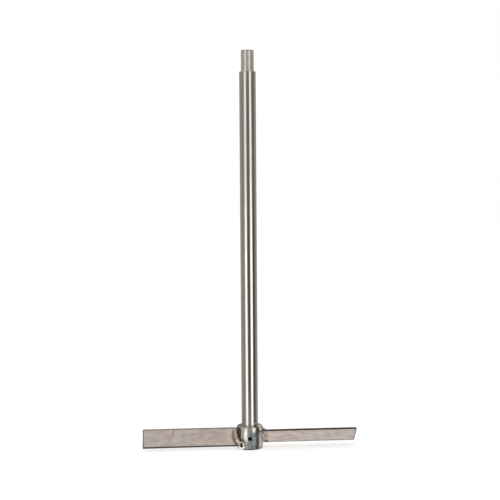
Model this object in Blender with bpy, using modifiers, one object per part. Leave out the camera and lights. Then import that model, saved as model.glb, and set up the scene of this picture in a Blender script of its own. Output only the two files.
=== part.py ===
"""Drill paint mixer, all in stainless steel.

A turned shaft has a reduced shank at its top for the drill's chuck. Near its foot sits a loose
collar, gripped by one set screw, which carries two flat blades. The blades are welded to the
collar at a 45 degree pitch, so that the mixer lifts the paint on both sides as it turns.

Metres, +Z up the shaft. The origin is on the shaft's axis, level with the collar's base, and
the blades lie along X with the set screw at the front, towards -Y.
"""

import math

import bmesh
import bpy
from mathutils import Vector

MM = 0.001
FIT_GAP = 0.3 * MM                  # left between neighbouring pieces

# Shaft: one turned bar, with its foot level with the collar's base
SHAFT_RADIUS = 8.0 * MM
SHOULDER_HEIGHT = 365.0 * MM        # where the shank starts
SHANK_RADIUS = 6.25 * MM
SHANK_LENGTH = 20.4 * MM
SHAFT_CHAMFER = 0.4 * MM
SHANK_CHAMFER = 0.6 * MM

# Collar: a bored ring with a tapped hole through its front wall
COLLAR_RADIUS = 12.5 * MM
COLLAR_HEIGHT = 21.6 * MM
COLLAR_BASE_CHAMFER = 1.5 * MM
COLLAR_TOP_CHAMFER = 0.4 * MM
COLLAR_MIDDLE = COLLAR_HEIGHT / 2

# Set screw: a headless socket screw, sunk in the collar's wall
SCREW_HOLE_RADIUS = 2.4 * MM
SCREW_LENGTH = 3.2 * MM
SCREW_CHAMFER = 0.4 * MM
SCREW_SOCKET_FLATS = 2.4 * MM
SCREW_SOCKET_DEPTH = 1.6 * MM
SCREW_BEARING = math.radians(5.0)   # how far the hole is off square to the blades

# Blades: two lengths of flat bar
BLADE_REACH = 104.0 * MM            # from the shaft's axis to the tip
BLADE_WIDTH = 20.4 * MM
BLADE_THICKNESS = 2.2 * MM
BLADE_EDGE_BREAK = 0.2 * MM
BLADE_PITCH = math.radians(45.0)

# Welds: one bead along the root of each face of each blade. A bead stops short at one of the
# blade's edges and runs on past the other, round the collar, to end in a blob.
FAT_BEAD = 3.2 * MM                 # radius
SLIM_BEAD = 2.0 * MM
WELD_LIFT_SHARE = 0.375             # of its radius: how far a bead's centre stands off the steel
WELD_RADIUS_LEAST = 0.3 * MM        # at the very tip of each rounded end
WELD_SPACING = 1.0 * MM

# Each bead's blade, face and radius, and the blob's bearing from the blade's own side of the
# collar and its height from the collar's middle, before the bead is turned to its face and blade
WELDS = {
    "weld_left_upper": ("left", "upper", FAT_BEAD, math.radians(59.0), -7.2 * MM),
    "weld_left_lower": ("left", "lower", FAT_BEAD, math.radians(48.0), -7.0 * MM),
    "weld_right_upper": ("right", "upper", FAT_BEAD, math.radians(50.0), -6.8 * MM),
    "weld_right_lower": ("right", "lower", SLIM_BEAD, math.radians(46.0), -7.4 * MM),
}

ROUND_STEPS = 128
SCREW_STEPS = 32
HALF_TURN = math.pi
QUARTER_TURN = math.pi / 2
MERGE_DISTANCE = 0.005 * MM
SHARP_ANGLE = math.radians(32.0)


def clear_scene():
    for old in list(bpy.data.objects):
        bpy.data.objects.remove(old, do_unlink=True)


def new_collection(name):
    collection = bpy.data.collections.new(name)
    bpy.context.scene.collection.children.link(collection)
    return collection


def steel(name, colour, roughness):
    material = bpy.data.materials.new(name)
    material.use_nodes = True
    shader = material.node_tree.nodes["Principled BSDF"]
    shader.inputs["Base Color"].default_value = (*colour, 1.0)
    shader.inputs["Metallic"].default_value = 1.0
    shader.inputs["Roughness"].default_value = roughness
    return material


def add_piece(name, mesh, collection, material=None, parent=None):
    piece = bpy.data.objects.new(name, mesh)
    collection.objects.link(piece)
    piece.parent = parent
    if material is not None:
        mesh.materials.append(material)
    return piece


def add_cutter(name, mesh, collection):
    cutter = add_piece(name, mesh, collection)
    cutter.hide_render = True
    cutter.display_type = "WIRE"
    return cutter


def turned_profile(name, points, closed=False):
    """A profile of (radius, height) points in the XZ plane, ready for a Screw modifier."""
    edges = [(i, i + 1) for i in range(len(points) - 1)]
    if closed:
        edges.append((len(points) - 1, 0))
    mesh = bpy.data.meshes.new(name)
    mesh.from_pydata([(radius, 0.0, height) for radius, height in points], edges, [])
    return mesh


def turn(piece, steps):
    screw = piece.modifiers.new("turn", "SCREW")
    screw.steps = steps
    screw.render_steps = steps
    screw.use_merge_vertices = True
    screw.merge_threshold = MERGE_DISTANCE


def cut(piece, cutter):
    boolean = piece.modifiers.new("cut by " + cutter.name, "BOOLEAN")
    boolean.operation = "DIFFERENCE"
    boolean.solver = "EXACT"
    boolean.object = cutter


def cylinder_mesh(name, radius, height, segments):
    """A cylinder about Z, centred on its own origin."""
    shape = bmesh.new()
    bmesh.ops.create_cone(shape, cap_ends=True, segments=segments, radius1=radius,
                          radius2=radius, depth=height)
    mesh = bpy.data.meshes.new(name)
    shape.to_mesh(mesh)
    shape.free()
    return mesh


def finish_mesh(piece):
    """Give a piece the mesh its modifiers make, with its round faces shaded smooth."""
    depsgraph = bpy.context.evaluated_depsgraph_get()
    mesh = bpy.data.meshes.new_from_object(piece.evaluated_get(depsgraph))
    piece.modifiers.clear()
    piece.data = mesh
    mesh.shade_smooth()
    mesh.set_sharp_from_angle(angle=SHARP_ANGLE)


def build_shaft(parts):
    top = SHOULDER_HEIGHT + SHANK_LENGTH
    profile = [
        (0.0, top),
        (SHANK_RADIUS - SHANK_CHAMFER, top),
        (SHANK_RADIUS, top - SHANK_CHAMFER),
        (SHANK_RADIUS, SHOULDER_HEIGHT),
        (SHAFT_RADIUS - SHAFT_CHAMFER, SHOULDER_HEIGHT),
        (SHAFT_RADIUS, SHOULDER_HEIGHT - SHAFT_CHAMFER),
        (SHAFT_RADIUS, SHAFT_CHAMFER),
        (SHAFT_RADIUS - SHAFT_CHAMFER, 0.0),
        (0.0, 0.0),
    ]
    bright = steel("bright drawn stainless steel", (0.60, 0.58, 0.55), 0.22)
    shaft = add_piece("shaft", turned_profile("shaft", profile), parts, bright)
    turn(shaft, ROUND_STEPS)
    finish_mesh(shaft)


def build_collar(parts, cutters, impeller):
    bore = SHAFT_RADIUS + FIT_GAP
    profile = [
        (bore, COLLAR_HEIGHT),
        (COLLAR_RADIUS - COLLAR_TOP_CHAMFER, COLLAR_HEIGHT),
        (COLLAR_RADIUS, COLLAR_HEIGHT - COLLAR_TOP_CHAMFER),
        (COLLAR_RADIUS, COLLAR_BASE_CHAMFER),
        (COLLAR_RADIUS - COLLAR_BASE_CHAMFER, 0.0),
        (bore, 0.0),
    ]
    turned_steel = steel("turned stainless steel", (0.58, 0.57, 0.56), 0.20)
    collar = add_piece("collar", turned_profile("collar", profile, closed=True), parts,
                       turned_steel, impeller)
    turn(collar, ROUND_STEPS)

    # the tapped hole runs from inside the bore to outside the collar, on the front wall only
    drill_length = 2 * (COLLAR_RADIUS - bore + SCREW_HOLE_RADIUS)
    drill = add_cutter("screw_hole_drill", cylinder_mesh(
        "screw_hole_drill", SCREW_HOLE_RADIUS, drill_length, SCREW_STEPS), cutters)
    wall_middle = (COLLAR_RADIUS + bore) / 2
    drill.location = (-wall_middle * math.sin(SCREW_BEARING),
                      -wall_middle * math.cos(SCREW_BEARING), COLLAR_MIDDLE)
    drill.rotation_euler = (QUARTER_TURN, 0.0, -SCREW_BEARING)
    cut(collar, drill)
    finish_mesh(collar)


def build_set_screw(parts, cutters, impeller):
    """Turned about its own Z, which points out of the collar, with its origin on the shaft's axis."""
    radius = SCREW_HOLE_RADIUS - FIT_GAP
    tip = SHAFT_RADIUS + FIT_GAP
    outer = tip + SCREW_LENGTH
    profile = [
        (0.0, outer),
        (radius - SCREW_CHAMFER, outer),
        (radius, outer - SCREW_CHAMFER),
        (radius, tip + SCREW_CHAMFER),
        (radius - SCREW_CHAMFER, tip),
        (0.0, tip),
    ]
    black = steel("blackened alloy steel", (0.05, 0.05, 0.05), 0.45)
    screw = add_piece("set_screw", turned_profile("set_screw", profile), parts, black, impeller)
    screw.location = (0.0, 0.0, COLLAR_MIDDLE)
    screw.rotation_euler = (QUARTER_TURN, 0.0, -SCREW_BEARING)
    turn(screw, SCREW_STEPS)

    # a hexagon's corner radius, and a key as tall again as the socket is deep
    corner_radius = SCREW_SOCKET_FLATS / math.sqrt(3.0)
    key = add_cutter("hex_key", cylinder_mesh(
        "hex_key", corner_radius, 2 * SCREW_SOCKET_DEPTH, 6), cutters)
    key.location = (-outer * math.sin(SCREW_BEARING), -outer * math.cos(SCREW_BEARING),
                    COLLAR_MIDDLE)
    key.rotation_euler = screw.rotation_euler
    cut(screw, key)
    finish_mesh(screw)


def collar_clearance(cutters):
    """What every blade and weld stays clear of: the collar, one fit gap larger all round."""
    cutter = add_cutter("collar_clearance", cylinder_mesh(
        "collar_clearance", COLLAR_RADIUS + FIT_GAP, 3 * COLLAR_HEIGHT, ROUND_STEPS), cutters)
    cutter.location = (0.0, 0.0, COLLAR_MIDDLE)
    return cutter


def bar_mesh(name, width, thickness):
    """A flat bar along -X, lying in the XY plane, that starts inside the collar."""
    start = COLLAR_RADIUS / 2
    shape = bmesh.new()
    bmesh.ops.create_cube(shape, size=1.0)
    bmesh.ops.scale(shape, vec=(BLADE_REACH - start, width, thickness), verts=shape.verts)
    bmesh.ops.translate(shape, vec=(-(BLADE_REACH + start) / 2, 0.0, 0.0), verts=shape.verts)
    mesh = bpy.data.meshes.new(name)
    shape.to_mesh(mesh)
    shape.free()
    return mesh


def pitch_bar(bar, turned_by):
    bar.location = (0.0, 0.0, COLLAR_MIDDLE)
    bar.rotation_euler = (BLADE_PITCH, 0.0, turned_by)


def build_blade(name, turned_by, clearance, parts, material, impeller):
    blade = add_piece(name, bar_mesh(name, BLADE_WIDTH, BLADE_THICKNESS), parts, material,
                      impeller)
    pitch_bar(blade, turned_by)
    edges = blade.modifiers.new("broken edges", "BEVEL")
    edges.width = BLADE_EDGE_BREAK
    edges.segments = 2
    cut(blade, clearance)
    finish_mesh(blade)


def blade_clearance(name, turned_by, cutters):
    """What the welds stay clear of: one blade, one fit gap larger all round."""
    cutter = add_cutter(name, bar_mesh(name, BLADE_WIDTH + 2 * FIT_GAP,
                                       BLADE_THICKNESS + 2 * FIT_GAP), cutters)
    pitch_bar(cutter, turned_by)
    return cutter


def around_collar(out, bearing, height):
    """A point this far out from the axis: bearing runs from -X towards the front, -Y."""
    return Vector((-out * math.cos(bearing), -out * math.sin(bearing), height))


def weld_path(radius, blob_bearing, blob_height):
    """Evenly spaced points along one bead, from its short end at the blade's upper edge."""
    lift = radius * WELD_LIFT_SHARE
    height_off = BLADE_THICKNESS / 2 + lift
    out = COLLAR_RADIUS + lift
    path = []
    straight_steps = round(BLADE_WIDTH / WELD_SPACING)
    for i in range(straight_steps + 1):
        across = BLADE_WIDTH * (0.5 - i / straight_steps)
        depth = across * math.cos(BLADE_PITCH) - height_off * math.sin(BLADE_PITCH)
        height = across * math.sin(BLADE_PITCH) + height_off * math.cos(BLADE_PITCH)
        path.append((math.asin(-depth / out), height))

    # past the lower edge, a curve that starts along the run and levels off towards the blob
    bearing, height = path[-1]
    slope = (height - path[-2][1]) / (bearing - path[-2][0])
    bend = ((bearing + blob_bearing) / 2, height + slope * (blob_bearing - bearing) / 2)
    tail_steps = round(out * (blob_bearing - bearing) / WELD_SPACING) + 2
    for i in range(1, tail_steps + 1):
        t = i / tail_steps
        path.append(tuple(
            (1 - t) ** 2 * start + 2 * t * (1 - t) * middle + t ** 2 * end
            for start, middle, end in zip((bearing, height), bend, (blob_bearing, blob_height))))
    return [around_collar(out, *spot) for spot in path]


def bead_radius(radius, distance):
    """The bead's radius at a distance from its nearer end, which is rounded like a ball."""
    if distance >= radius:
        return radius
    round_off = math.sqrt(radius ** 2 - (radius - distance) ** 2)
    return max(round_off, WELD_RADIUS_LEAST)


def weld_mesh(name, radius, blob_bearing, blob_height):
    """A round bead along its path, with its caps welded on."""
    path = weld_path(radius, blob_bearing, blob_height)
    reach = [0.0]
    for before, after in zip(path, path[1:]):
        reach.append(reach[-1] + (after - before).length)

    curve = bpy.data.curves.new(name, "CURVE")
    curve.dimensions = "3D"
    curve.bevel_depth = radius
    curve.bevel_resolution = 4
    curve.use_fill_caps = True
    run = curve.splines.new("POLY")
    run.points.add(len(path) - 1)
    for spot, point, distance in zip(run.points, path, reach):
        spot.co = (*point, 1.0)
        spot.radius = bead_radius(radius, min(distance, reach[-1] - distance)) / radius

    guide = bpy.data.objects.new(name, curve)
    bpy.context.scene.collection.objects.link(guide)
    depsgraph = bpy.context.evaluated_depsgraph_get()
    mesh = bpy.data.meshes.new_from_object(guide.evaluated_get(depsgraph))
    bpy.data.objects.remove(guide, do_unlink=True)
    shape = bmesh.new()
    shape.from_mesh(mesh)
    bmesh.ops.remove_doubles(shape, verts=shape.verts, dist=MERGE_DISTANCE)
    bmesh.ops.recalc_face_normals(shape, faces=shape.faces)
    shape.to_mesh(mesh)
    shape.free()
    return mesh


def build_weld(name, turns, collar_cutter, blade_cutters, parts, material, impeller):
    side, face, radius, blob_bearing, blob_height = WELDS[name]
    mesh = weld_mesh(name, radius, blob_bearing, blob_height)
    weld = add_piece(name, mesh, parts, material, impeller)
    weld.location = (0.0, 0.0, COLLAR_MIDDLE)
    weld.rotation_euler = (0.0 if face == "upper" else HALF_TURN, 0.0, turns[side])
    cut(weld, collar_cutter)
    cut(weld, blade_cutters[side])
    finish_mesh(weld)


def build_mixer():
    clear_scene()
    parts = new_collection("drill_paint_mixer")
    cutters = new_collection("cutters")
    impeller = bpy.data.objects.new("impeller", None)
    parts.objects.link(impeller)

    build_shaft(parts)
    build_collar(parts, cutters, impeller)
    build_set_screw(parts, cutters, impeller)

    clearance = collar_clearance(cutters)
    flat_bar = steel("cold rolled stainless steel", (0.52, 0.48, 0.44), 0.35)
    turns = {"left": 0.0, "right": HALF_TURN}
    blade_cutters = {}
    for side, turned_by in turns.items():
        build_blade("blade_" + side, turned_by, clearance, parts, flat_bar, impeller)
        blade_cutters[side] = blade_clearance("blade_clearance_" + side, turned_by, cutters)

    weld_metal = steel("stainless weld metal", (0.50, 0.46, 0.42), 0.30)
    for name in WELDS:
        build_weld(name, turns, clearance, blade_cutters, parts, weld_metal, impeller)


build_mixer()
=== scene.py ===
import math

import bmesh
import bpy
from mathutils import Matrix, Vector


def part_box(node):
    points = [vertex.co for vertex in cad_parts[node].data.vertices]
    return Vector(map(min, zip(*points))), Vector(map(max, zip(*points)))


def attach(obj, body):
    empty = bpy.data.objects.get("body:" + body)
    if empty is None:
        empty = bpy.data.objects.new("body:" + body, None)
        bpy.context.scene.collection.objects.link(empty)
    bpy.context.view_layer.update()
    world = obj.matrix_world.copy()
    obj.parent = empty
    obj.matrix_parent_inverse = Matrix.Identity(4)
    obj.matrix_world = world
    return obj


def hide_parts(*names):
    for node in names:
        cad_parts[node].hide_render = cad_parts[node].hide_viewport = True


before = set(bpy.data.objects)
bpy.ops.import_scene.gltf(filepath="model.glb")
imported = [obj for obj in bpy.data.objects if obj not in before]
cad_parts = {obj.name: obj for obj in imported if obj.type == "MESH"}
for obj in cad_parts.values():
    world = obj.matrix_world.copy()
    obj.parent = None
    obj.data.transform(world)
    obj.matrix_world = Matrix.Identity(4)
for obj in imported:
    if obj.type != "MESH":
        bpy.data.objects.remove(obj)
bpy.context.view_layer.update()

# ---------------------------------------------------------------------------------------------
# Shaft: one length of bright drawn stainless bar, polished lengthwise. Its top is turned down on
# a lathe to a shank for the drill's chuck, which leaves a sharp shoulder, a small radius at the
# shank's root, broken edges, and a centre hole in each end.
# ---------------------------------------------------------------------------------------------
# the frame is in metres
mm = 0.001
shaft_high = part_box("shaft")[1]
shaft_radius = shaft_high.x
shank_length = 20.4 * mm
shank_radius = 6.25 * mm
shoulder_height = shaft_high.z - shank_length
shaft_edge = 0.35 * mm
shank_edge = 0.6 * mm
shank_root = 0.4 * mm
centre_hole_radius = 1.6 * mm
centre_hole_depth = 2.6 * mm
centre_hole_point = 0.05
shaft_sides = 192
touching = 0.01 * mm
nearly_level = 0.9


def start_clean():
    """Leave edit mode and deselect everything, so that an operator acts on its own piece only."""
    if bpy.context.object and bpy.context.object.mode == "EDIT":
        bpy.ops.object.mode_set(mode="OBJECT")
    bpy.ops.object.select_all(action="DESELECT")


def start_editing():
    """Place the new primitive's mesh where its object stands, and edit it."""
    bpy.ops.object.transform_apply(location=True, rotation=True, scale=True)
    bpy.ops.object.mode_set(mode="EDIT")


def choose(part, wanted):
    """In edit mode, select only the faces, edges or vertices that wanted picks out."""
    shape = bmesh.from_edit_mesh(bpy.context.object.data)
    bpy.context.tool_settings.mesh_select_mode = (part == "verts", part == "edges", part == "faces")
    shape.select_mode = {{"verts": "VERT", "edges": "EDGE", "faces": "FACE"}[part]}
    for group in (shape.verts, shape.edges, shape.faces):
        for element in group:
            element.select = False
    for element in getattr(shape, part):
        if wanted(element):
            element.select_set(True)
    shape.select_flush_mode()
    bmesh.update_edit_mesh(bpy.context.object.data)


def cap(height, facing):
    """Picks the flat face at this height that looks up (1) or down (-1)."""
    return lambda face: (face.normal.z * facing > nearly_level
                         and abs(face.calc_center_median().z - height) < touching)


def ring(radius, height):
    """Picks the edges of a level circle about the shaft's axis."""
    return lambda edge: all(abs(v.co.z - height) < touching
                            and abs(v.co.xy.length - radius) < 2 * touching for v in edge.verts)


def round_off(wanted, width, steps):
    """Bevel the picked edges."""
    choose("edges", wanted)
    bpy.ops.mesh.bevel(offset=width, segments=steps, affect="EDGES", clamp_overlap=False)


def finish_piece(piece, name, body, slot, *nodes, smooth_below=30):
    """Smooth the round faces, and put the piece in the frame in place of its CAD nodes."""
    start_clean()
    piece.name = name
    piece.data.name = name
    piece.select_set(True)
    bpy.context.view_layer.objects.active = piece
    bpy.ops.object.transform_apply(location=True, rotation=True, scale=True)
    bpy.ops.object.shade_smooth_by_angle(angle=math.radians(smooth_below))
    bpy.ops.object.select_all(action="DESELECT")
    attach(piece, body)
    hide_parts(*nodes)


start_clean()
bpy.ops.mesh.primitive_cylinder_add(vertices=shaft_sides, radius=shaft_radius,
                                    depth=shoulder_height, location=(0, 0, shoulder_height / 2))
shaft = bpy.context.object
start_editing()
choose("faces", cap(shoulder_height, 1))
bpy.ops.mesh.inset(thickness=shaft_radius - shank_radius)
bpy.ops.mesh.extrude_region_move(TRANSFORM_OT_translate={"value": (0, 0, shank_length)})
# the centre hole: a small flat is inset in each end and pushed in to a cone
for end_face, end_radius, inward in ((cap(shaft_high.z, 1), shank_radius, -1),
                                     (cap(0.0, -1), shaft_radius, 1)):
    choose("faces", end_face)
    bpy.ops.mesh.inset(thickness=end_radius - centre_hole_radius)
    bpy.ops.mesh.extrude_region_move(
        TRANSFORM_OT_translate={"value": (0, 0, inward * centre_hole_depth)})
    bpy.ops.transform.resize(value=(centre_hole_point, centre_hole_point, 1))
round_off(ring(shank_radius, shaft_high.z), shank_edge, 3)
round_off(ring(shank_radius, shoulder_height), shank_root, 4)
round_off(ring(shaft_radius, shoulder_height), shaft_edge, 3)
round_off(ring(shaft_radius, 0.0), shaft_edge, 3)
finish_piece(shaft, "turned_shaft", "shaft", "shaft_steel", "shaft")


def linear(hex_colour):
    """The linear colour of an sRGB hex value."""
    channels = [int(hex_colour[i:i + 2], 16) / 255 for i in (1, 3, 5)]
    return tuple(c / 12.92 if c <= 0.04045 else ((c + 0.055) / 1.055) ** 2.4
                 for c in channels) + (1.0,)


def add_node(tree, kind, inputs=None, **settings):
    """Add a node with its settings, and set its inputs or link them to a node or a socket."""
    node = tree.nodes.new(kind)
    for name, value in settings.items():
        setattr(node, name, value)
    for name, value in (inputs or {}).items():
        if isinstance(value, bpy.types.Node):
            value = next(output for output in value.outputs if output.enabled)
        if isinstance(value, bpy.types.NodeSocket):
            tree.links.new(value, node.inputs[name])
        else:
            node.inputs[name].default_value = value
    return node


def new_metal(name, piece):
    """A new metal in the piece's next material slot; its shader is ready for its links."""
    material = bpy.data.materials.new(name)
    material.use_nodes = True
    tree = material.node_tree
    shader = tree.nodes["Principled BSDF"]
    shader.inputs["Metallic"].default_value = 1.0
    piece.data.materials.append(material)
    return tree, shader, add_node(tree, "ShaderNodeTexCoord").outputs["Object"]


def per_mm(*sizes):
    """The Mapping scale at which one unit of a pattern is this many millimetres along X, Y, Z."""
    return [1 / (size * mm) for size in sizes]


def link(tree, node, socket):
    """Link a node's first live output to a socket."""
    tree.links.new(next(output for output in node.outputs if output.enabled), socket)


# Bright drawn stainless: the die and the polishing belt leave lines along the bar, so it
# mirrors strips of light as clean bands whose edges waver a little. Lines are drawn 0.6 mm apart,
# coarser than the real 0.05 mm, which would not show.
shaft.data.materials.clear()
tree, shader, place = new_metal("bright drawn stainless steel", shaft)
lines = add_node(tree, "ShaderNodeTexNoise", {
    "Vector": add_node(tree, "ShaderNodeMapping", {"Vector": place, "Scale": per_mm(0.6, 0.6, 70)}),
    "Scale": 1.0, "Detail": 4.0, "Roughness": 0.65})
clouds = add_node(tree, "ShaderNodeTexNoise", {
    "Vector": add_node(tree, "ShaderNodeMapping", {"Vector": place, "Scale": per_mm(5, 5, 11)}),
    "Scale": 1.0, "Detail": 4.0, "Roughness": 0.6})
lined = add_node(tree, "ShaderNodeMapRange", {
    "Value": lines, "From Min": 0.3, "From Max": 0.7, "To Min": 0.0, "To Max": 1.0})
cloudy = add_node(tree, "ShaderNodeMapRange", {
    "Value": clouds, "From Min": 0.3, "From Max": 0.7, "To Min": 0.0, "To Max": 1.0})
steel = add_node(tree, "ShaderNodeMix", {
    "Factor": cloudy, 6: linear("#C9C6C0"), 7: linear("#B9B0A9")}, data_type="RGBA")
steel = add_node(tree, "ShaderNodeMix", {
    "Factor": lined, 6: steel, 7: linear("#C4C1BC")}, data_type="RGBA")
link(tree, steel, shader.inputs["Base Color"])
link(tree, add_node(tree, "ShaderNodeMapRange", {
    "Value": add_node(tree, "ShaderNodeMath", {0: lines, 1: clouds}, operation="ADD"),
    "From Min": 0.7, "From Max": 1.3, "To Min": 0.06, "To Max": 0.17}), shader.inputs["Roughness"])
link(tree, add_node(tree, "ShaderNodeBump", {
    "Height": lines, "Strength": 0.25, "Distance": 0.01 * mm}), shader.inputs["Normal"])

# The turned shank is duller: a lathe's fine rings, drawn 0.35 mm apart where the real ones are
# 0.1, and rubbed lengthwise by the jaws of chucks.
tree, shader, place = new_metal("turned stainless steel", shaft)
rubbed = add_node(tree, "ShaderNodeTexNoise", {
    "Vector": add_node(tree, "ShaderNodeMapping", {"Vector": place, "Scale": per_mm(1.2, 1.2, 7)}),
    "Scale": 1.0, "Detail": 4.0, "Roughness": 0.65})
turning = add_node(tree, "ShaderNodeTexNoise", {
    "Vector": add_node(tree, "ShaderNodeMapping", {"Vector": place, "Scale": per_mm(30, 30, 0.35)}),
    "Scale": 1.0, "Detail": 2.0, "Roughness": 0.5})
steel = add_node(tree, "ShaderNodeMix", {
    "Factor": add_node(tree, "ShaderNodeMapRange", {
        "Value": rubbed, "From Min": 0.4, "From Max": 0.75}),
    6: linear("#C4C1B8"), 7: linear("#9A968C")}, data_type="RGBA")
link(tree, steel, shader.inputs["Base Color"])
link(tree, add_node(tree, "ShaderNodeMapRange", {
    "Value": rubbed, "From Min": 0.3, "From Max": 0.7, "To Min": 0.16, "To Max": 0.24}),
    shader.inputs["Roughness"])
# its torn grooves scatter much of the light, as a matt surface does
shader.inputs["Metallic"].default_value = 0.7
shader.inputs["Anisotropic"].default_value = 1.0
shader.inputs["Anisotropic Rotation"].default_value = 0.25
link(tree, add_node(tree, "ShaderNodeBump", {
    "Height": add_node(tree, "ShaderNodeMath", {0: turning, 1: rubbed}, operation="ADD"),
    "Strength": 0.2, "Distance": 0.01 * mm}), shader.inputs["Normal"])

# The ends are parted off and left dull where the tool rubbed. Their dark colour is partly painted
# shade, and the collar's base chamfer takes it too.
tree, shader, place = new_metal("parted stainless end", shaft)
rubbing = add_node(tree, "ShaderNodeTexNoise", {
    "Vector": add_node(tree, "ShaderNodeMapping", {"Vector": place, "Scale": per_mm(1, 1, 1)}),
    "Scale": 1.0, "Detail": 3.0})
link(tree, add_node(tree, "ShaderNodeMix", {
    "Factor": rubbing, 6: linear("#3E3A35"), 7: linear("#5A554D")}, data_type="RGBA"),
    shader.inputs["Base Color"])
shader.inputs["Roughness"].default_value = 0.5
parted_steel = shaft.data.materials[-1]
shank_starts = shoulder_height + 0.3 * mm
for face in shaft.data.polygons:
    if face.center.z > shank_starts:
        face.material_index = 1
    if face.center.z > shaft_high.z - shank_edge - touching or face.center.z < touching:
        face.material_index = 2

# ---------------------------------------------------------------------------------------------
# Collar: a short length of stainless bar, turned, chamfered at both ends and bored to slide on the
# shaft. A tapped hole in its front takes the set screw. The blades are welded to its sides, and the
# welds' heat and the acid that cleaned them have tinted and clouded its wall. Light and dark upright
# bands are also painted on the wall where it mirrors the studio.
# ---------------------------------------------------------------------------------------------
collar_low, collar_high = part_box("collar")
collar_radius = -collar_low.y
collar_middle = (collar_low.z + collar_high.z) / 2
collar_height = collar_high.z - collar_low.z
bore_radius = shaft_radius + 0.12 * mm
collar_base_chamfer = 1.5 * mm
collar_top_chamfer = 0.45 * mm
bore_chamfer = 0.35 * mm
collar_sides = 160
collar_rows = 18
# the tapped hole stands a little to the left of square to the blades
screw_bearing = math.radians(5)
screw_line = Vector((-math.sin(screw_bearing), -math.cos(screw_bearing), 0))
screw_turn = screw_line.to_track_quat("Z", "Y").to_euler()
thread_pitch = 0.8 * mm
thread_depth = 0.38 * mm
# this share of the way from crest to root is flat at the crest, and as much at the root
thread_flat = 0.1
tapped_radius = 2.4 * mm
tapped_length = 9.0 * mm
thread_sides = 48
rows_per_turn = 8
# the last drop of the left weld and the first of the right one, which mark the wall
left_drop = (-8.5 * mm, -9.0 * mm, collar_middle - 6.3 * mm)
rim_drop = (8.8 * mm, -7.3 * mm, collar_middle + 10.0 * mm)


def threaded_rod(radius, length, middle):
    """Add a rod with a thread round it, along the set screw's line, about this middle."""
    rows = round(length / thread_pitch * rows_per_turn)
    start_clean()
    bpy.ops.mesh.primitive_cylinder_add(vertices=thread_sides, radius=radius, depth=length)
    rod = bpy.context.object
    start_editing()
    choose("edges", lambda edge: abs(edge.verts[0].co.z - edge.verts[1].co.z) > length / 2)
    bpy.ops.mesh.subdivide(number_cuts=rows - 1)
    bpy.ops.object.mode_set(mode="OBJECT")
    # each point of the wall moves in by how far it stands from the crest that winds past it
    for point in rod.data.vertices:
        turns = point.co.z / thread_pitch - math.atan2(point.co.y, point.co.x) / math.tau
        from_crest = abs(turns - math.floor(turns) - 0.5) * 2
        flank = min(1.0, max(0.0, (from_crest - thread_flat) / (1 - 2 * thread_flat)))
        point.co.xy *= 1 - thread_depth * flank / radius
    rod.rotation_euler = screw_turn
    rod.location = middle
    bpy.ops.object.transform_apply(location=True, rotation=True, scale=True)
    return rod


def cut_away(piece, cutter):
    """Cut one shape out of another, and throw the cutter away."""
    start_clean()
    bpy.context.view_layer.objects.active = piece
    piece.select_set(True)
    difference = piece.modifiers.new("cut", "BOOLEAN")
    difference.operation = "DIFFERENCE"
    difference.solver = "EXACT"
    difference.object = cutter
    bpy.ops.object.modifier_apply(modifier=difference.name)
    bpy.data.objects.remove(cutter)


start_clean()
bpy.ops.mesh.primitive_cylinder_add(vertices=collar_sides, radius=collar_radius,
                                    depth=collar_height, location=(0, 0, collar_middle))
collar = bpy.context.object
start_editing()
for height, facing in ((collar_high.z, 1), (collar_low.z, -1)):
    choose("faces", cap(height, facing))
    bpy.ops.mesh.inset(thickness=collar_radius - bore_radius)
    bpy.ops.mesh.delete(type="FACE")
choose("edges", lambda edge: ring(bore_radius, collar_high.z)(edge)
       or ring(bore_radius, collar_low.z)(edge))
bpy.ops.mesh.bridge_edge_loops()
round_off(ring(collar_radius, collar_low.z), collar_base_chamfer, 2)
round_off(ring(collar_radius, collar_high.z), collar_top_chamfer, 2)
round_off(ring(bore_radius, collar_low.z), bore_chamfer, 2)
round_off(ring(bore_radius, collar_high.z), bore_chamfer, 2)
# the wall is divided into rows, so that the hole disturbs only the faces beside it
choose("edges", lambda edge: abs(edge.verts[0].co.z - edge.verts[1].co.z) > collar_height / 2
       and edge.verts[0].co.xy.length > collar_radius - touching)
bpy.ops.mesh.subdivide(number_cuts=collar_rows - 1)
bpy.ops.object.mode_set(mode="OBJECT")
hole_middle = Vector((0, 0, collar_middle)) + screw_line * (bore_radius + collar_radius) / 2
cut_away(collar, threaded_rod(tapped_radius, tapped_length, hole_middle))
finish_piece(collar, "turned_collar", "impeller", "collar_steel", "collar", smooth_below=35)

# Turned and then pickled stainless: rings from the lathe round the axis, drawn 0.5 mm apart
# where the real ones are 0.1, and a cloudy blue-grey bloom where the acid took the polish off.
collar.data.materials.clear()
tree, shader, place = new_metal("turned and pickled stainless steel", collar)
rings = add_node(tree, "ShaderNodeTexNoise", {
    "Vector": add_node(tree, "ShaderNodeMapping", {"Vector": place, "Scale": per_mm(40, 40, 0.5)}),
    "Scale": 1.0, "Detail": 3.0, "Roughness": 0.6})
bloom = add_node(tree, "ShaderNodeTexNoise", {
    "Vector": add_node(tree, "ShaderNodeMapping", {"Vector": place, "Scale": per_mm(3, 3, 4)}),
    "Scale": 1.0, "Detail": 5.0, "Roughness": 0.65})
across = add_node(tree, "ShaderNodeSeparateXYZ", {"Vector": place})
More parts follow.
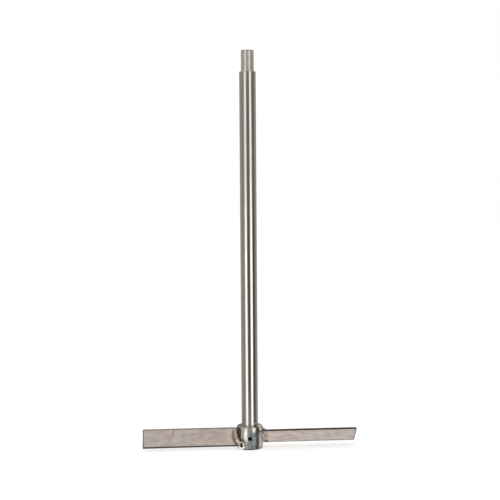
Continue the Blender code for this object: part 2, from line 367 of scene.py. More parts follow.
# The wall is coloured in upright bands. Beside the left bead it is brown: heat tint, and painted
# shade where the bead shades the wall. Then comes a near-white painted highlight where the wall
# mirrors the left strip light, fading to clean polish. After that come a blue-grey bloom, then a
# dark band of painted reflection where the wall mirrors the dark room, then the pale skin beside the
# right bead, a painted highlight. Each band's place is its distance to the right of the middle, in
# millimetres.
band_waver = 2.4 * mm
wavy = add_node(tree, "ShaderNodeMath", {
    0: bloom, 1: band_waver, 2: across.outputs["X"]}, operation="MULTIPLY_ADD")
around_wall = add_node(tree, "ShaderNodeMapRange", {
    "Value": wavy, "From Min": -collar_radius, "From Max": collar_radius})
heat_tint = add_node(tree, "ShaderNodeValToRGB", {"Fac": around_wall})
heat_bands = ((-8.4, "#74625A"), (-7.8, "#F2EFEA"), (0.6, "#C6C5C1"), (2.4, "#8B949B"),
              (5.4, "#7D858C"), (6.4, "#54575A"), (8.8, "#5A5C5E"), (9.4, "#E9DDD5"))
while len(heat_tint.color_ramp.elements) < len(heat_bands):
    heat_tint.color_ramp.elements.new(0.5)
for element, (x, colour) in zip(heat_tint.color_ramp.elements, heat_bands):
    element.position = (x * mm + collar_radius) / (2 * collar_radius)
    element.color = linear(colour)
# the top of the wall and the collar's end face stayed out of the acid and keep their polish
polish_waver = 6 * mm
polish_from = 19.5 * mm
polish_full = 22.5 * mm
# but not beside the welds, from these distances to the left and right of the middle
left_brown_full = -7.5 * mm
left_brown_from = -6.5 * mm
right_bloom_from = 4.5 * mm
right_bloom_full = 5.5 * mm
polished = add_node(tree, "ShaderNodeMapRange", {
    "Value": add_node(tree, "ShaderNodeMath", {
        0: bloom, 1: polish_waver, 2: across.outputs["Z"]}, operation="MULTIPLY_ADD"),
    "From Min": polish_from, "From Max": polish_full})
not_right = add_node(tree, "ShaderNodeMapRange", {
    "Value": across.outputs["X"], "From Min": right_bloom_from, "From Max": right_bloom_full,
    "To Min": 1.0, "To Max": 0.0})
on_end = add_node(tree, "ShaderNodeMapRange", {
    "Value": across.outputs["Z"], "From Min": collar_high.z - collar_top_chamfer,
    "From Max": collar_high.z})
kept = add_node(tree, "ShaderNodeMath", {
    0: add_node(tree, "ShaderNodeMath", {0: polished, 1: not_right}, operation="MULTIPLY"),
    1: on_end}, operation="MAXIMUM")
not_left = add_node(tree, "ShaderNodeMapRange", {
    "Value": across.outputs["X"], "From Min": left_brown_full, "From Max": left_brown_from})
steel = add_node(tree, "ShaderNodeMix", {
    "Factor": add_node(tree, "ShaderNodeMath", {0: kept, 1: not_left}, operation="MULTIPLY"),
    6: heat_tint.outputs["Color"], 7: linear("#D2CEC7")}, data_type="RGBA")
steel = add_node(tree, "ShaderNodeMix", {"Factor": on_end, 6: steel, 7: linear("#D6D0CA")},
                 data_type="RGBA")
# right of the middle the acid's bloom covers the rest of the wall, paler where it has pitted it
bloom_full = 3 * mm
bloomed = add_node(tree, "ShaderNodeMapRange", {
    "Value": add_node(tree, "ShaderNodeMath", {0: wavy, 1: kept}, operation="SUBTRACT"),
    "From Min": 0.0, "From Max": bloom_full})
pitting = add_node(tree, "ShaderNodeTexNoise", {
    "Vector": add_node(tree, "ShaderNodeMapping", {
        "Vector": place, "Scale": per_mm(1.8, 1.8, 1.8)}),
    "Scale": 1.0, "Detail": 3.0, "Roughness": 0.6})
pitted = add_node(tree, "ShaderNodeMapRange", {
    "Value": pitting, "From Min": 0.42, "From Max": 0.62, "To Min": -0.1, "To Max": 0.8})
steel = add_node(tree, "ShaderNodeMix", {
    "Factor": add_node(tree, "ShaderNodeMath", {0: pitted, 1: bloomed}, operation="MULTIPLY",
                       use_clamp=True),
    6: steel, 7: linear("#C3C6C6")}, data_type="RGBA")
steel = add_node(tree, "ShaderNodeMix", {
    "Factor": add_node(tree, "ShaderNodeMapRange", {
        "Value": bloom, "From Min": 0.45, "From Max": 0.62, "To Max": 0.3}),
    6: steel, 7: linear("#8F8A83")}, data_type="RGBA")
# the wall is painted darker grey round the left drop. Round the drop on the rim, where it meets the
# wall, it has a dark ring: oxide, and painted shade in that crease. For each, the distances at which
# the wall is clean and fully darkened, how much, and the colour
scorch_waver = 3 * mm
for drop, clean_at, scorched_at, amount, colour in (
        (left_drop, 8.0 * mm, 5.6 * mm, 0.85, "#7E7A75"),
        (rim_drop, 5.2 * mm, 3.9 * mm, 0.9, "#2C2A2A")):
    steel = add_node(tree, "ShaderNodeMix", {
        "Factor": add_node(tree, "ShaderNodeMapRange", {
            "Value": add_node(tree, "ShaderNodeMath", {
                0: bloom, 1: scorch_waver, 2: add_node(tree, "ShaderNodeVectorMath", {
                    0: place, 1: drop}, operation="DISTANCE").outputs["Value"]},
                operation="MULTIPLY_ADD"),
            "From Min": clean_at + scorch_waver / 2, "From Max": scorched_at + scorch_waver / 2,
            "To Max": amount}),
        6: steel, 7: linear(colour)}, data_type="RGBA")
link(tree, steel, shader.inputs["Base Color"])
link(tree, add_node(tree, "ShaderNodeMapRange", {
    "Value": bloomed, "To Min": 0.34, "To Max": 0.55}),
    shader.inputs["Roughness"])
# the pale skin beside the right bead is a painted highlight, made dull with less metal, so it is
# hardly a mirror
pale_from = 8.8 * mm
pale_full = 9.6 * mm
link(tree, add_node(tree, "ShaderNodeMapRange", {
    "Value": wavy, "From Min": pale_from, "From Max": pale_full, "To Min": 1.0, "To Max": 0.45}),
    shader.inputs["Metallic"])
shader.inputs["Anisotropic"].default_value = 1.0
shader.inputs["Anisotropic Rotation"].default_value = 0.25
link(tree, add_node(tree, "ShaderNodeBump", {
    "Height": add_node(tree, "ShaderNodeMath", {0: rings, 1: bloom}, operation="ADD"),
    "Strength": 0.35, "Distance": 0.03 * mm}), shader.inputs["Normal"])

# The upper end was faced off and polished, so it mirrors the foot of the shaft.
tree, shader, place = new_metal("faced and polished stainless end", collar)
buffing = add_node(tree, "ShaderNodeTexNoise", {
    "Vector": add_node(tree, "ShaderNodeMapping", {"Vector": place, "Scale": per_mm(2, 2, 2)}),
    "Scale": 1.0, "Detail": 4.0, "Roughness": 0.6})
link(tree, add_node(tree, "ShaderNodeMix", {
    "Factor": buffing, 6: linear("#ECE7E2"), 7: linear("#D6CEC8")}, data_type="RGBA"),
    shader.inputs["Base Color"])
link(tree, add_node(tree, "ShaderNodeMapRange", {
    "Value": buffing, "From Min": 0.3, "From Max": 0.7, "To Min": 0.03, "To Max": 0.12}),
    shader.inputs["Roughness"])

# the base chamfer, cut as the collar was parted off, takes the dark end steel: painted shade,
# standing for the shadowed floor that it mirrors
collar.data.materials.append(parted_steel)
level_face = 0.95
sloping_face = 0.3
chamfer_inside = collar_radius - collar_base_chamfer
for face in collar.data.polygons:
    if face.normal.z > level_face:
        face.material_index = 1
    if -level_face < face.normal.z < -sloping_face and face.center.xy.length > chamfer_inside:
        face.material_index = 2

# ---------------------------------------------------------------------------------------------
# Set screw: a socket set screw of black oxide alloy steel, which locks the collar on the shaft.
# It sits below the collar's surface, with a hexagon socket in its outer end.
# ---------------------------------------------------------------------------------------------
screw_radius = 2.1 * mm
# how far from the shaft's axis its two ends stand
screw_inner = 8.3 * mm
screw_outer = 11.5 * mm
socket_flats = 2.4 * mm
socket_depth = 1.6 * mm
screw_length = screw_outer - screw_inner

screw_middle = Vector((0, 0, collar_middle)) + screw_line * (screw_inner + screw_outer) / 2
screw = threaded_rod(screw_radius, screw_length, screw_middle)
start_clean()
bpy.ops.mesh.primitive_cylinder_add(
    vertices=6, radius=socket_flats / math.sqrt(3), depth=2 * socket_depth, rotation=screw_turn,
    location=Vector((0, 0, collar_middle)) + screw_line * screw_outer)
cut_away(screw, bpy.context.object)
finish_piece(screw, "socket_set_screw", "set_screw", "screw_steel", "set_screw")

# Black oxide: a thin dark film that the quench leaves a little uneven, and worn on the crests.
screw.data.materials.clear()
tree, shader, place = new_metal("black oxide alloy steel", screw)
film = add_node(tree, "ShaderNodeTexNoise", {
    "Vector": add_node(tree, "ShaderNodeMapping", {"Vector": place, "Scale": per_mm(1, 1, 1)}),
    "Scale": 1.0, "Detail": 4.0})
link(tree, add_node(tree, "ShaderNodeMix", {
    "Factor": film, 6: linear("#1B1B1C"), 7: linear("#3A3836")}, data_type="RGBA"),
    shader.inputs["Base Color"])
shader.inputs["Roughness"].default_value = 0.42

# ---------------------------------------------------------------------------------------------
# Blades: two lengths of cold rolled stainless flat bar, guillotined to length, each set at 45
# degrees to the shaft and welded edge-on to the collar. The shear leaves its cut ends and edges
# dull, rolled over on one side and with a slight burr on the other.
# ---------------------------------------------------------------------------------------------
blade_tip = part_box("blade_right")[1].x
blade_root = 9.5 * mm
blade_width = 20.4 * mm
blade_thickness = 2.2 * mm
blade_pitch = math.radians(45)
rolled_edge = 0.45 * mm
burred_edge = 0.15 * mm
rolled_end = 0.5 * mm
square_corner = 1.0
blade_bow = 0.12 * mm
bow_stations = 24
# a face within 14 degrees of the bar's flat still has its rolled skin
flat_enough = 0.97


def along(edge):
    """Picks the edges that run the length of the bar."""
    return abs(edge.verts[0].co.x - edge.verts[1].co.x) > blade_width


def sheared_bar(side):
    """One blade, lying along X towards its side (-1 left, 1 right) before it is pitched."""
    start_clean()
    bpy.ops.mesh.primitive_cube_add(
        size=1, location=((blade_tip + blade_root) / 2, 0, 0),
        scale=(blade_tip - blade_root, blade_width, blade_thickness))
    bar = bpy.context.object
    start_editing()
    # the face that looks up is the die side, and the one that looks down has the burr
    round_off(lambda edge: along(edge) and edge.verts[0].co.z > 0, rolled_edge, 3)
    round_off(lambda edge: along(edge) and edge.verts[0].co.z < 0, burred_edge, 2)
    round_off(lambda edge: all(abs(v.co.x - blade_tip) < touching for v in edge.verts)
              and edge.calc_face_angle(0) > square_corner, rolled_end, 3)
    choose("edges", along)
    bpy.ops.mesh.subdivide(number_cuts=bow_stations - 1)
    bpy.ops.object.mode_set(mode="OBJECT")
    # a sheared bar is never quite flat
    for point in bar.data.vertices:
        out = (point.co.x - blade_root) / (blade_tip - blade_root)
        point.co.z += blade_bow * math.sin(math.pi * out)
    bar.rotation_euler = (-blade_pitch, 0, 0) if side > 0 else (-blade_pitch, 0, math.pi)
    bar.location = (0, 0, collar_middle)
    bpy.ops.object.transform_apply(location=True, rotation=True, scale=True)
    return bar


# the distances from the collar's middle between which the heat's rings fade, and their strength
# on each side
heat_from = 16.5 * mm
heat_to = 23 * mm
heat_strength = {-1: 0.7, 1: 0.4}
# where the painted shade along the edges starts and is full: in Y at the back edge, and short of the
# tip
dull_back_from = 4.9 * mm
dull_back_full = 5.4 * mm
dull_tip_from = blade_tip - 1.3 * mm
dull_tip_full = blade_tip - 0.8 * mm
# the scuff's place along the left blade at floor level, its lean, half width and lower end
scuff_place = -79.3 * mm
scuff_slant = 0.31
scuff_half_width = 1.5 * mm
scuff_core = 0.3 * mm
scuff_from = 11.5 * mm
scuff_full = 14 * mm
# the middle of a painted shadow on the right blade, at its lower edge beside the bead, the radius at
# which it fades out, and that within which it is full
arc_strike = (16.4 * mm, 5.0 * mm, collar_middle - 6.6 * mm)
strike_radius = 3.0 * mm
strike_core = 1.8 * mm
for side, name, node in ((-1, "left_blade", "blade_left"), (1, "right_blade", "blade_right")):
    blade = sheared_bar(side)
    finish_piece(blade, name, "impeller", "blade_steel", node, smooth_below=40)
    blade.data.materials.clear()
    # Cold rolled flat bar: rolling leaves fine lines along it and a soft mottled grey skin, and
    # the heat of the weld has left brown and straw rings about the collar.
    tree, shader, place = new_metal("cold rolled stainless flat bar", blade)
    rolling = add_node(tree, "ShaderNodeTexNoise", {
        "Vector": add_node(tree, "ShaderNodeMapping", {
            "Vector": place, "Scale": per_mm(60, 0.8, 0.8)}),
        "Scale": 1.0, "Detail": 4.0, "Roughness": 0.6})
    mottle = add_node(tree, "ShaderNodeTexNoise", {
        "Vector": add_node(tree, "ShaderNodeMapping", {"Vector": place, "Scale": per_mm(9, 5, 5)}),
        "Scale": 1.0, "Detail": 4.0, "Roughness": 0.6})
    steel = add_node(tree, "ShaderNodeMix", {
        "Factor": add_node(tree, "ShaderNodeMapRange", {
            "Value": mottle, "From Min": 0.38, "From Max": 0.62}),
        6: linear("#D9CEC4"), 7: linear("#BCA9A0")}, data_type="RGBA")
    steel = add_node(tree, "ShaderNodeMix", {
        "Factor": add_node(tree, "ShaderNodeMapRange", {
            "Value": rolling, "From Min": 0.35, "From Max": 0.7}),
        6: steel, 7: linear("#BBB0A8")}, data_type="RGBA")
    from_middle = add_node(tree, "ShaderNodeVectorMath", {
        0: add_node(tree, "ShaderNodeVectorMath", {0: place, 1: (0, 0, collar_middle)},
                    operation="SUBTRACT")}, operation="LENGTH")
    heat = add_node(tree, "ShaderNodeMapRange", {
        "Value": from_middle.outputs["Value"], "From Min": heat_from, "From Max": heat_to})
    tint = add_node(tree, "ShaderNodeValToRGB", {"Fac": heat})
    for stop, colour in ((0.0, "#5E4C46"), (0.14, "#8A7468"), (0.3, "#CDBFA6")):
        element = tint.color_ramp.elements.new(stop) if stop else tint.color_ramp.elements[0]
        element.position = stop
        element.color = linear(colour)
    steel = add_node(tree, "ShaderNodeMix", {
        "Factor": add_node(tree, "ShaderNodeMapRange", {
            "Value": heat, "To Min": heat_strength[side], "To Max": 0.0}),
        6: steel, 7: tint.outputs["Color"]}, data_type="RGBA")
    # painted shade: a dark line along the back edge of the face, and at the tip
    spot = add_node(tree, "ShaderNodeSeparateXYZ", {"Vector": place})
    back = add_node(tree, "ShaderNodeMapRange", {
        "Value": spot.outputs["Y"], "From Min": dull_back_from, "From Max": dull_back_full,
        "To Max": 0.5})
    tip = add_node(tree, "ShaderNodeMapRange", {
        "Value": add_node(tree, "ShaderNodeMath", {0: spot.outputs["X"]}, operation="ABSOLUTE"),
        "From Min": dull_tip_from, "From Max": dull_tip_full, "To Max": 0.7})
    steel = add_node(tree, "ShaderNodeMix", {
        "Factor": add_node(tree, "ShaderNodeMath", {0: back, 1: tip}, operation="MAXIMUM"),
        6: steel, 7: linear("#5C544D")}, data_type="RGBA")
    # a scuff across the left blade, and a painted shadow on the right one
    if side < 0:
        slant = add_node(tree, "ShaderNodeMath", {
            0: spot.outputs["Z"], 1: -scuff_slant, 2: spot.outputs["X"]},
            operation="MULTIPLY_ADD")
        beside = add_node(tree, "ShaderNodeMath", {0: slant, 1: scuff_place}, operation="SUBTRACT")
        marked = add_node(tree, "ShaderNodeMath", {
            0: add_node(tree, "ShaderNodeMapRange", {
                "Value": add_node(tree, "ShaderNodeMath", {0: beside}, operation="ABSOLUTE"),
                "From Min": scuff_half_width, "From Max": scuff_core, "To Max": 0.3}),
            1: add_node(tree, "ShaderNodeMapRange", {
                "Value": spot.outputs["Z"], "From Min": scuff_from, "From Max": scuff_full})},
            operation="MULTIPLY")
    else:
        marked = add_node(tree, "ShaderNodeMapRange", {
            "Value": add_node(tree, "ShaderNodeVectorMath", {0: place, 1: arc_strike},
                              operation="DISTANCE").outputs["Value"],
            "From Min": strike_radius, "From Max": strike_core, "To Max": 0.92})
    steel = add_node(tree, "ShaderNodeMix", {
        "Factor": marked, 6: steel, 7: linear("#403E3F")}, data_type="RGBA")
    link(tree, steel, shader.inputs["Base Color"])
    link(tree, add_node(tree, "ShaderNodeMapRange", {
        "Value": mottle, "From Min": 0.3, "From Max": 0.7, "To Min": 0.24, "To Max": 0.4}),
        shader.inputs["Roughness"])
    link(tree, add_node(tree, "ShaderNodeBump", {
        "Height": rolling, "Strength": 0.3, "Distance": 0.02 * mm}), shader.inputs["Normal"])

    # The sheared edge: torn across by the shear every 0.7 mm or so, and dull. Its very dark colour
    # is painted shade as well.
    tree, shader, place = new_metal("sheared stainless edge", blade)
    tears = add_node(tree, "ShaderNodeTexNoise", {
        "Vector": add_node(tree, "ShaderNodeMapping", {
            "Vector": place, "Scale": per_mm(0.7, 6, 6)}),
        "Scale": 1.0, "Detail": 3.0, "Roughness": 0.6})
    link(tree, add_node(tree, "ShaderNodeMix", {
        "Factor": tears, 6: linear("#3C3733"), 7: linear("#5D5650")}, data_type="RGBA"),
        shader.inputs["Base Color"])
    shader.inputs["Roughness"].default_value = 0.5
    link(tree, add_node(tree, "ShaderNodeBump", {
        "Height": tears, "Strength": 0.5, "Distance": 0.05 * mm}), shader.inputs["Normal"])
    flat_of_blade = Vector((0, side * math.sin(blade_pitch), math.cos(blade_pitch)))
    for face in blade.data.polygons:
        face.material_index = 0 if abs(face.normal.dot(flat_of_blade)) > flat_enough else 1

# ---------------------------------------------------------------------------------------------
# Weld beads: four short fillet welds of stainless filler, one on each face of each blade, run
# round the collar. A bead is a row of overlapping pools that froze one after another, and the
# arc leaves a larger drop where it starts or stops, one of them with a crater.
# ---------------------------------------------------------------------------------------------
pool_step = 1.5 * mm
pool_unevenness = 0.02
pool_rhythm = 2.3
bead_voxel = 0.2 * mm
smoothing_passes = 14
# a pool's centre stands off the blade and the wall by this share of its radius
lift_share = 0.375
root_steps = 20
bend_steps = 8
# towards its end the bead grows thinner, by this share from this far along
taper_share = 0.3
taper_from = 0.6
# no weld freezes quite even
lump_height = 0.5 * mm
weld_lumps = bpy.data.textures.new("weld_lumps", "CLOUDS")
weld_lumps.noise_scale = 2.2 * mm
weld_lumps.noise_depth = 1
# the crater is in the front of the left weld's last drop, on that blade's upper face
crater_in = (-1, 1)
crater_radius = 2.6 * mm
crater_shape = (1.25, 1.0, 0.85)
crater_facing = Vector((-0.18, -0.95, 0.24))
crater_out = 5.4 * mm
crater_middle = Vector(left_drop) + crater_facing * crater_out
crater_rim = 0.6 * mm
# a drop is bright to this distance from its middle, and as dull as the rest of the bead past it
shine_to = 4.1 * mm
dull_from = 4.8 * mm
# the darkening along the toes, oxide and painted shade in the crease, fades out this far off the
# collar and the blade, and is full this near
toe_from = 0.9 * mm
toe_full = 0.2 * mm
# For each bead: its blade's side (-1 left) and face (1 upper), its pools' radius, how far short of
# the blade's upper edge it starts, the bearing in degrees and height of its end, and the bearing,
# height, distance from the axis and radius of any drop. Bearings run from the blade's own side,
# and lengths are in millimetres.
beads = {
    "left_upper": (-1, 1, 3.3, 1.6, 44, -6.2, ((46.5, -6.3, 12.4, 4.1),)),
    "left_lower": (-1, -1, 3.1, 1.0, 48, -7.0, ()),
    "right_upper": (1, 1, 3.1, 2.0, 50, -6.8, ((-39.8, 10.0, 11.7, 3.3),)),
    "right_lower": (1, -1, 1.4, 5.0, 30, -8.0, ()),
}


def beside_collar(out, bearing, height):
    """A point this far out from the axis: bearing runs from -X round to the front."""
    return Vector((-out * math.cos(bearing), -out * math.sin(bearing), height))


def bead_line(radius, end_bearing, end_height):
    """Points down the root of the left blade's upper face, and on round the collar."""
    lift = radius * lift_share
    off = blade_thickness / 2 + lift
    out = collar_radius + lift
    line = []
    for step in range(root_steps + 1):
        across = blade_width * (0.5 - step / root_steps)
        depth = (across - off) * math.sin(blade_pitch)
        line.append((math.asin(-depth / out), (across + off) * math.sin(blade_pitch)))
    # past the blade's lower edge it bends level, towards its end
    bearing, height = line[-1]
    slope = (height - line[-2][1]) / (bearing - line[-2][0])
    bend = ((bearing + end_bearing) / 2, height + slope * (end_bearing - bearing) / 2)
    for step in range(1, bend_steps + 1):
        t = step / bend_steps
        line.append(tuple((1 - t) ** 2 * a + 2 * t * (1 - t) * b + t ** 2 * c for a, b, c in
                          zip((bearing, height), bend, (end_bearing, end_height))))
    return [beside_collar(out, bearing, height) for bearing, height in line]


def along_line(line, distance):
    """The point this far along a line."""
    for start, end in zip(line, line[1:]):
        length = (end - start).length
        if distance <= length:
            return start.lerp(end, distance / length)
        distance -= length
    return line[-1]


def melt(bead):
    """Run the bead's overlapping shapes into one skin."""
    remesh = bead.modifiers.new("melt", "REMESH")
    remesh.mode = "VOXEL"
    remesh.voxel_size = bead_voxel
    remesh.use_smooth_shade = True
    bpy.ops.object.modifier_apply(modifier=remesh.name)


def weld_bead(side, face, radius, short_by, end_bearing, end_height, drops):
    """A row of pools along the bead's line, melted into one solid with its drops."""
    line = bead_line(radius, math.radians(end_bearing), end_height * mm)
    length = sum((end - start).length for start, end in zip(line, line[1:]))
    first = short_by * mm + radius
    pools = round((length - first - radius) / pool_step)
    balls = []
    for pool in range(pools + 1):
        at = first + (length - first - radius) * pool / pools
        size = radius * (1 - pool_unevenness + pool_unevenness * math.sin(pool_rhythm * pool + side))
        size *= 1 - taper_share * max(0, (pool / pools - taper_from) / (1 - taper_from))
        balls.append((along_line(line, at), size))
    for bearing, height, out, size in drops:
        balls.append((beside_collar(out * mm, math.radians(bearing), height * mm), size * mm))
    start_clean()
    made = []
    for middle, size in balls:
        bpy.ops.mesh.primitive_uv_sphere_add(segments=32, ring_count=20, radius=size,
                                             location=middle)
        bpy.ops.object.transform_apply(location=True)
        made.append(bpy.context.object)
    for ball in made:
        ball.select_set(True)
    bpy.ops.object.join()
    bead = bpy.context.object
    bead.rotation_euler = (0 if face > 0 else math.pi, 0, 0 if side < 0 else math.pi)
    bead.location = (0, 0, collar_middle)
    bpy.ops.object.transform_apply(location=True, rotation=True, scale=True)
    melt(bead)
    if (side, face) == crater_in:
        start_clean()
        bpy.ops.mesh.primitive_uv_sphere_add(segments=32, ring_count=20, radius=crater_radius,
                                             location=crater_middle, scale=crater_shape)
        cut_away(bead, bpy.context.object)
        melt(bead)
    uneven = bead.modifiers.new("uneven", "DISPLACE")
    uneven.texture = weld_lumps
    uneven.texture_coords = "LOCAL"
    uneven.strength = lump_height
    bpy.ops.object.modifier_apply(modifier=uneven.name)
    settle = bead.modifiers.new("settle", "SMOOTH")
    settle.factor = 0.5
    settle.iterations = smoothing_passes
    bpy.ops.object.modifier_apply(modifier=settle.name)
    return bead


for name, (side, face, radius, short_by, end_bearing, end_height, drops) in beads.items():
    bead = weld_bead(side, face, radius * mm, short_by, end_bearing, end_height, drops)
    finish_piece(bead, name + "_bead", "impeller", "weld_metal", "weld_" + name, smooth_below=80)
    bead.data.materials.clear()
    # Stainless filler cools to a dull skin with straw and brown tints. Along its toes, where it
    # meets the collar and the blade, it is darkened: a line of oxide, and painted shade in the
    # crease there.
    tree, shader, place = new_metal("stainless weld metal", bead)
    skin = add_node(tree, "ShaderNodeTexNoise", {
        "Vector": add_node(tree, "ShaderNodeMapping", {
            "Vector": place, "Scale": per_mm(2.5, 2.5, 2.5)}),
        "Scale": 1.0, "Detail": 4.0, "Roughness": 0.6})
    steel = add_node(tree, "ShaderNodeMix", {
        "Factor": add_node(tree, "ShaderNodeMapRange", {
            "Value": skin, "From Min": 0.4, "From Max": 0.7}),
        6: linear("#D2C6BB"), 7: linear("#94816F")}, data_type="RGBA")
    # a drop keeps the shine that it froze with, and the one on the rim is a little greener
    drop = left_drop if side < 0 else rim_drop
    drop_colour = "#F4F2EA" if side < 0 else "#C6C3B4"
    run = add_node(tree, "ShaderNodeMapRange", {
        "Value": add_node(tree, "ShaderNodeVectorMath", {0: place, 1: drop},
                          operation="DISTANCE").outputs["Value"],
        "From Min": shine_to, "From Max": dull_from})
    steel = add_node(tree, "ShaderNodeMix", {
        "Factor": run, 6: linear(drop_colour), 7: steel}, data_type="RGBA")
    # slag and oxide are left in the crater where the arc stopped
    steel = add_node(tree, "ShaderNodeMix", {
        "Factor": add_node(tree, "ShaderNodeMapRange", {
            "Value": add_node(tree, "ShaderNodeVectorMath", {0: place, 1: crater_middle},
                              operation="DISTANCE").outputs["Value"],
            "From Min": crater_radius + crater_rim, "From Max": crater_radius}),
        6: steel, 7: linear("#423F35")}, data_type="RGBA")
    from_hub = add_node(tree, "ShaderNodeVectorMath", {0: place, 1: (0, 0, collar_middle)},
                        operation="SUBTRACT")
    to_blade = add_node(tree, "ShaderNodeVectorMath", {
        0: from_hub, 1: (0, side * math.sin(blade_pitch), math.cos(blade_pitch))},
        operation="DOT_PRODUCT")
    to_edge = add_node(tree, "ShaderNodeVectorMath", {
        0: from_hub, 1: (0, -side * math.cos(blade_pitch), math.sin(blade_pitch))},
        operation="DOT_PRODUCT")
    off_face = add_node(tree, "ShaderNodeMath", {
        0: add_node(tree, "ShaderNodeMath", {0: to_blade.outputs["Value"]}, operation="ABSOLUTE"),
        1: blade_thickness / 2}, operation="SUBTRACT")
    past_edge = add_node(tree, "ShaderNodeMath", {
        0: add_node(tree, "ShaderNodeMath", {0: to_edge.outputs["Value"]}, operation="ABSOLUTE"),
        1: blade_width / 2}, operation="SUBTRACT")
    off_blade = add_node(tree, "ShaderNodeMath", {0: off_face, 1: past_edge},
                         operation="MAXIMUM")
    off_axis = add_node(tree, "ShaderNodeVectorMath", {
        0: add_node(tree, "ShaderNodeVectorMath", {0: from_hub, 1: (1, 1, 0)},
                    operation="MULTIPLY")}, operation="LENGTH")
    off_wall = add_node(tree, "ShaderNodeMath", {
        0: off_axis.outputs["Value"], 1: collar_radius}, operation="SUBTRACT")
    past_end = add_node(tree, "ShaderNodeMath", {
        0: add_node(tree, "ShaderNodeSeparateXYZ", {"Vector": place}).outputs["Z"],
        1: collar_high.z}, operation="SUBTRACT")
    off_collar = add_node(tree, "ShaderNodeMath", {0: off_wall, 1: past_end},
                          operation="MAXIMUM")
    nearest = add_node(tree, "ShaderNodeMath", {0: off_blade, 1: off_collar}, operation="MINIMUM")
    toe = add_node(tree, "ShaderNodeMapRange", {
        "Value": nearest, "From Min": toe_from, "From Max": toe_full})
    link(tree, add_node(tree, "ShaderNodeMix", {
        "Factor": toe, 6: steel, 7: linear("#4B3A32")}, data_type="RGBA"),
        shader.inputs["Base Color"])
    link(tree, add_node(tree, "ShaderNodeMapRange", {
        "Value": run, "To Min": 0.08, "To Max": 0.3}), shader.inputs["Roughness"])

# ---------------------------------------------------------------------------------------------
# Camera, floor and light. The camera stands a metre away and a little to the left, two thirds of
# the way up the shaft. It sees a plain white floor under a wide overhead softbox. The polished
# steel sees the studio instead: a dim room with a strip light on each side of the lens.
# ---------------------------------------------------------------------------------------------
camera_bearing = math.radians(-4.65)
camera_distance = 1.0
camera_height = 0.252
camera_tilt = math.radians(1.681)
camera_roll = math.radians(-0.403)
camera_data = bpy.data.cameras.new("camera")
camera_data.lens = 74.33
camera_data.shift_x = 0.0032
camera_data.shift_y = -0.0618
camera = bpy.data.objects.new("camera", camera_data)
bpy.context.scene.collection.objects.link(camera)
camera.matrix_world = (
    Matrix.Translation((camera_distance * math.sin(camera_bearing),
                        -camera_distance * math.cos(camera_bearing), camera_height))
    @ Matrix.Rotation(camera_bearing, 4, "Z")
    @ Matrix.Rotation(math.pi / 2 - camera_tilt, 4, "X")
    @ Matrix.Rotation(camera_roll, 4, "Z"))
bpy.context.scene.camera = camera

start_clean()
floor_size = 12.0
bpy.ops.mesh.primitive_plane_add(size=floor_size, location=(0, 0, 0))
floor = bpy.context.object
floor.name = "white_floor"
floor.visible_glossy = False
# matt white acrylic, lit from below as a product table is, so that shadows on it are faint
acrylic = bpy.data.materials.new("lit white acrylic")
acrylic.use_nodes = True
surface = acrylic.node_tree.nodes["Principled BSDF"].inputs
surface["Base Color"].default_value = linear("#A0A0A0")
surface["Roughness"].default_value = 0.9
surface["Emission Color"].default_value = (1.0, 1.0, 1.0, 1.0)
surface["Emission Strength"].default_value = 0.65
floor.data.materials.append(acrylic)

softbox_height = 3.0
softbox_data = bpy.data.lights.new("overhead_softbox", "AREA")
softbox_data.shape = "SQUARE"
softbox_data.size = 14.0
softbox_data.energy = 330.0
softbox = bpy.data.objects.new("overhead_softbox", softbox_data)
softbox.location = (0.0, 0.0, softbox_height)
softbox.visible_glossy = False
softbox.visible_camera = False
bpy.context.scene.collection.objects.link(softbox)

# The studio's brightness by bearing from the camera, in degrees to the right, and its tint.
warm, plain, cool = "#FFF1E6", "#FFFFFF", "#F6FFFA"
studio = (
    (-180, 0.12, plain), (-160, 0.35, plain), (-146, 0.62, warm), (-121, 0.52, warm),
    (-95, 0.44, warm), (-77, 0.40, warm),
    (-60, 0.50, warm), (-53, 0.60, plain), (-49, 2.1, plain), (-27, 2.1, plain),
    (-21, 0.5, plain), (-15, 0.26, cool), (-5, 0.12, cool), (8, 0.12, cool),
    (16, 0.18, cool), (22, 0.6, plain), (28, 2.3, plain), (47, 2.3, plain), (54, 0.5, plain),
    (62, 0.12, warm), (78, 0.10, warm), (92, 0.25, warm), (114, 0.50, warm), (146, 0.56, warm),
    (160, 0.35, plain), (180, 0.12, plain))
# how bright the ceiling and the ground are, and how far up or down a ray looks (0 level, 1
# straight up, -1 straight down) where they start and are full
ceiling_light = 0.82
ceiling_from = 0.3
ceiling_full = 0.65
ground_light = 0.92
ground_from = -0.36
ground_full = -0.65
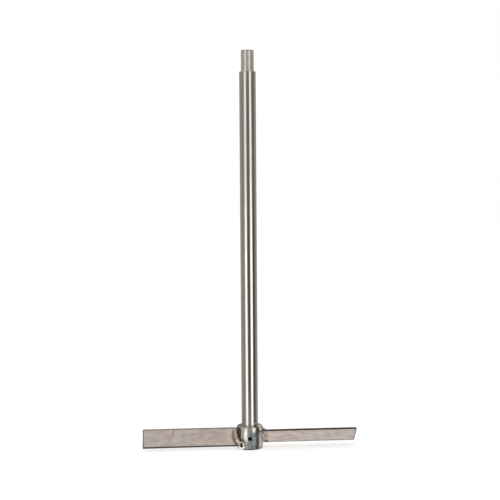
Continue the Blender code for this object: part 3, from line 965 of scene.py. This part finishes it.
# above the lens the strips fade to this share, and the room behind them is lighter
fade_from = -0.05
fade_full = 0.12
strip_share_above = 0.66
haze_above = 0.12
world = bpy.data.worlds.new("studio")
world.use_nodes = True
bpy.context.scene.world = world
bpy.context.scene.view_settings.view_transform = "Standard"
tree = world.node_tree
turned = add_node(tree, "ShaderNodeVectorRotate", {
    "Vector": add_node(tree, "ShaderNodeTexCoord").outputs["Generated"],
    "Angle": -camera_bearing}, rotation_type="Z_AXIS")
parts = add_node(tree, "ShaderNodeSeparateXYZ", {"Vector": turned})
ahead = add_node(tree, "ShaderNodeMath", {0: parts.outputs["Y"], 1: -1.0}, operation="MULTIPLY")
bearing = add_node(tree, "ShaderNodeMath", {0: parts.outputs["X"], 1: ahead},
                   operation="ARCTAN2")
around = add_node(tree, "ShaderNodeValToRGB", {"Fac": add_node(tree, "ShaderNodeMapRange", {
    "Value": bearing, "From Min": -math.pi, "From Max": math.pi})})
brightest = max(light for degrees, light, colour in studio)
while len(around.color_ramp.elements) < len(studio):
    around.color_ramp.elements.new(0.5)
for element, (degrees, light, colour) in zip(around.color_ramp.elements, studio):
    element.position = (degrees + 180) / 360
    element.color = [channel * light / brightest for channel in linear(colour)[:3]] + [1.0]
up = parts.outputs["Z"]
fading = add_node(tree, "ShaderNodeMapRange", {
    "Value": up, "From Min": fade_from, "From Max": fade_full})
strips = add_node(tree, "ShaderNodeVectorMath", {
    0: around, "Scale": add_node(tree, "ShaderNodeMapRange", {
        "Value": fading, "To Min": brightest, "To Max": strip_share_above * brightest})},
    operation="SCALE")
haze = add_node(tree, "ShaderNodeMapRange", {
    "Value": fading, "To Min": 0.0, "To Max": haze_above})
room = add_node(tree, "ShaderNodeVectorMath", {0: strips, 1: haze}, operation="ADD")
roofed = add_node(tree, "ShaderNodeMix", {
    "Factor": add_node(tree, "ShaderNodeMapRange", {
        "Value": up, "From Min": ceiling_from, "From Max": ceiling_full}),
    6: room, 7: [ceiling_light * c for c in linear(plain)[:3]] + [1.0]}, data_type="RGBA")
grounded = add_node(tree, "ShaderNodeMix", {
    "Factor": add_node(tree, "ShaderNodeMapRange", {
        "Value": up, "From Min": ground_from, "From Max": ground_full}),
    6: roofed, 7: [ground_light * c for c in linear(plain)[:3]] + [1.0]}, data_type="RGBA")
backdrop = add_node(tree, "ShaderNodeMix", {
    "Factor": add_node(tree, "ShaderNodeLightPath").outputs["Is Camera Ray"],
    6: grounded, 7: (1.0, 1.0, 1.0, 1.0)}, data_type="RGBA")
link(tree, backdrop, tree.nodes["Background"].inputs["Color"])
